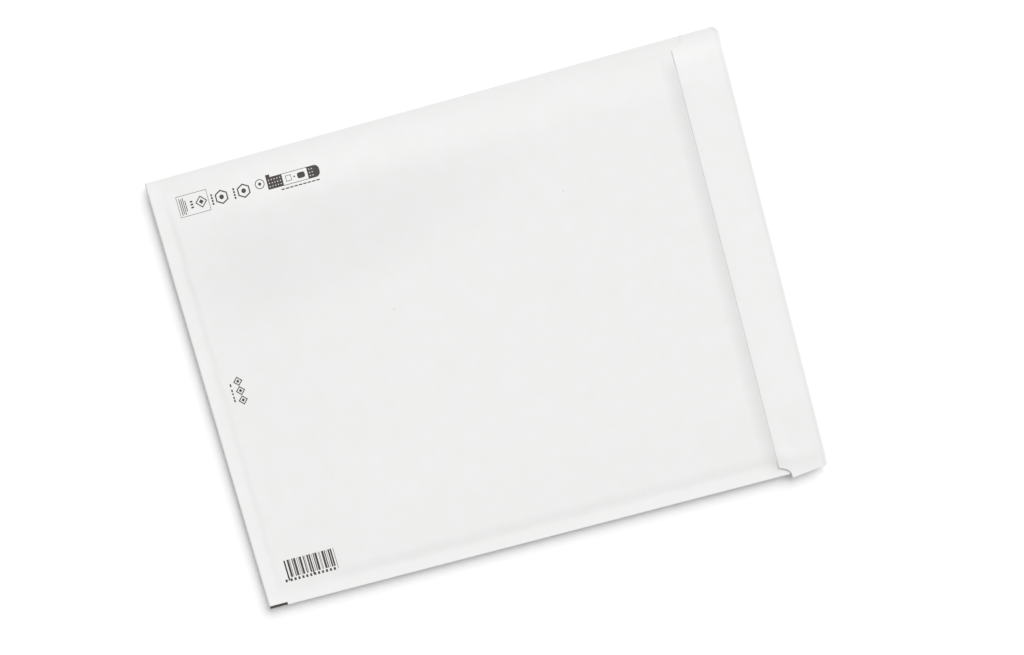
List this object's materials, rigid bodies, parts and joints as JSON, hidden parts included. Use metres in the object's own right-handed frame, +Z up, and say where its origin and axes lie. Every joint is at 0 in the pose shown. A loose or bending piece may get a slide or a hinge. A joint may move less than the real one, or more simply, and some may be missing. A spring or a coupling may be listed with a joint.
{
  "type": "padded envelope",
  "caption": "Flat padded mailing envelope of white kraft paper over a bubble-film pouch, its flap folded over the front panel.",
  "frame": {"origin": "under the middle of the envelope's outline, on the surface it lies on", "axes": "+X along the envelope from its closed end to its mouth fold, +Y across it, +Z up out of the front panel"},
  "size_m": [0.484, 0.374, 0.0113],
  "materials": {
    "white_kraft": "uncoated white kraft paper, softly padded from beneath, matt",
    "black_ink": "thin matt black water-based ink printed on the paper",
    "bubble_film": "translucent polyethylene bubble film",
    "hot_melt": "clear yellowish hot-melt adhesive",
    "silicone_paper": "smooth siliconed release paper"
  },
  "bodies": {
    "root": {"paper_shell": "white_kraft", "bubble_lining": "bubble_film", "adhesive_strip": "hot_melt", "release_liner": "silicone_paper"}
  },
  "joints": []
}
